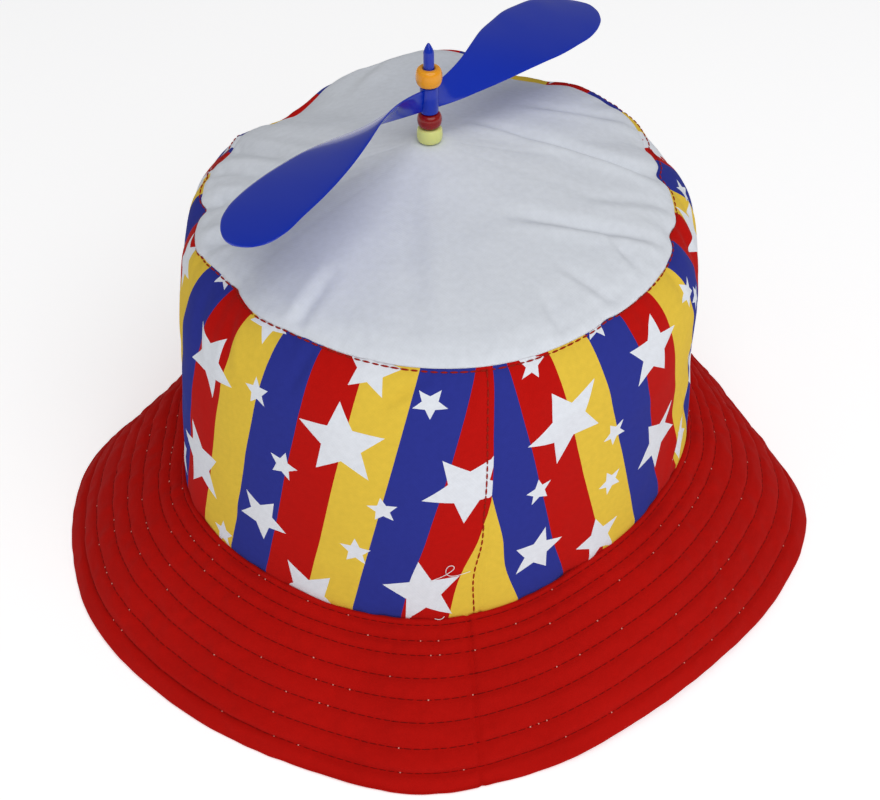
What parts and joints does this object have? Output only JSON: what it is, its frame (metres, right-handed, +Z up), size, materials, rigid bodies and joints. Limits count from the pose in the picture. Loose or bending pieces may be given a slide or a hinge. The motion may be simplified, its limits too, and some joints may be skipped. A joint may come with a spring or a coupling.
{
  "type": "propeller bucket hat",
  "caption": "Soft cloth bucket hat with a flat top, a striped and starred side band, a sewn sloping brim and a toy propeller that spins on a beaded pin.",
  "frame": {"origin": "on the surface the hat stands on, at the middle of the brim's box, under the propeller's pin", "axes": "+Z up along the pin, +Y to the front of the hat, its single seam is at the back on -Y, +X to the wearer's right"},
  "size_m": [0.2736, 0.2838, 0.1852],
  "materials": {
    "white_cotton": "plain woven cotton",
    "printed_cotton": "cotton printed with red, yellow and blue stripes and white stars",
    "red_cotton": "plain woven cotton, quilted in rows",
    "white_lining": "plain woven cotton",
    "blue_plastic": "glossy moulding",
    "yellow_plastic": "glossy pale yellow bead",
    "red_plastic": "glossy red bead",
    "orange_plastic": "glossy orange bead"
  },
  "bodies": {
    "hat": {"crown_top": "white_cotton", "side_band": "printed_cotton", "brim": "red_cotton", "under_brim": "white_lining", "pin": "blue_plastic", "foot_collar": "yellow_plastic", "lower_bead": "red_plastic", "upper_bead": "orange_plastic"},
    "propeller": {"propeller": "blue_plastic"}
  },
  "joints": [
    {"name": "propeller_spin", "type": "hinge", "parent": "hat", "child": "propeller", "pos_m": [0, 0, 0.1659], "axis": [0, 0, 1], "continuous": true}
  ]
}
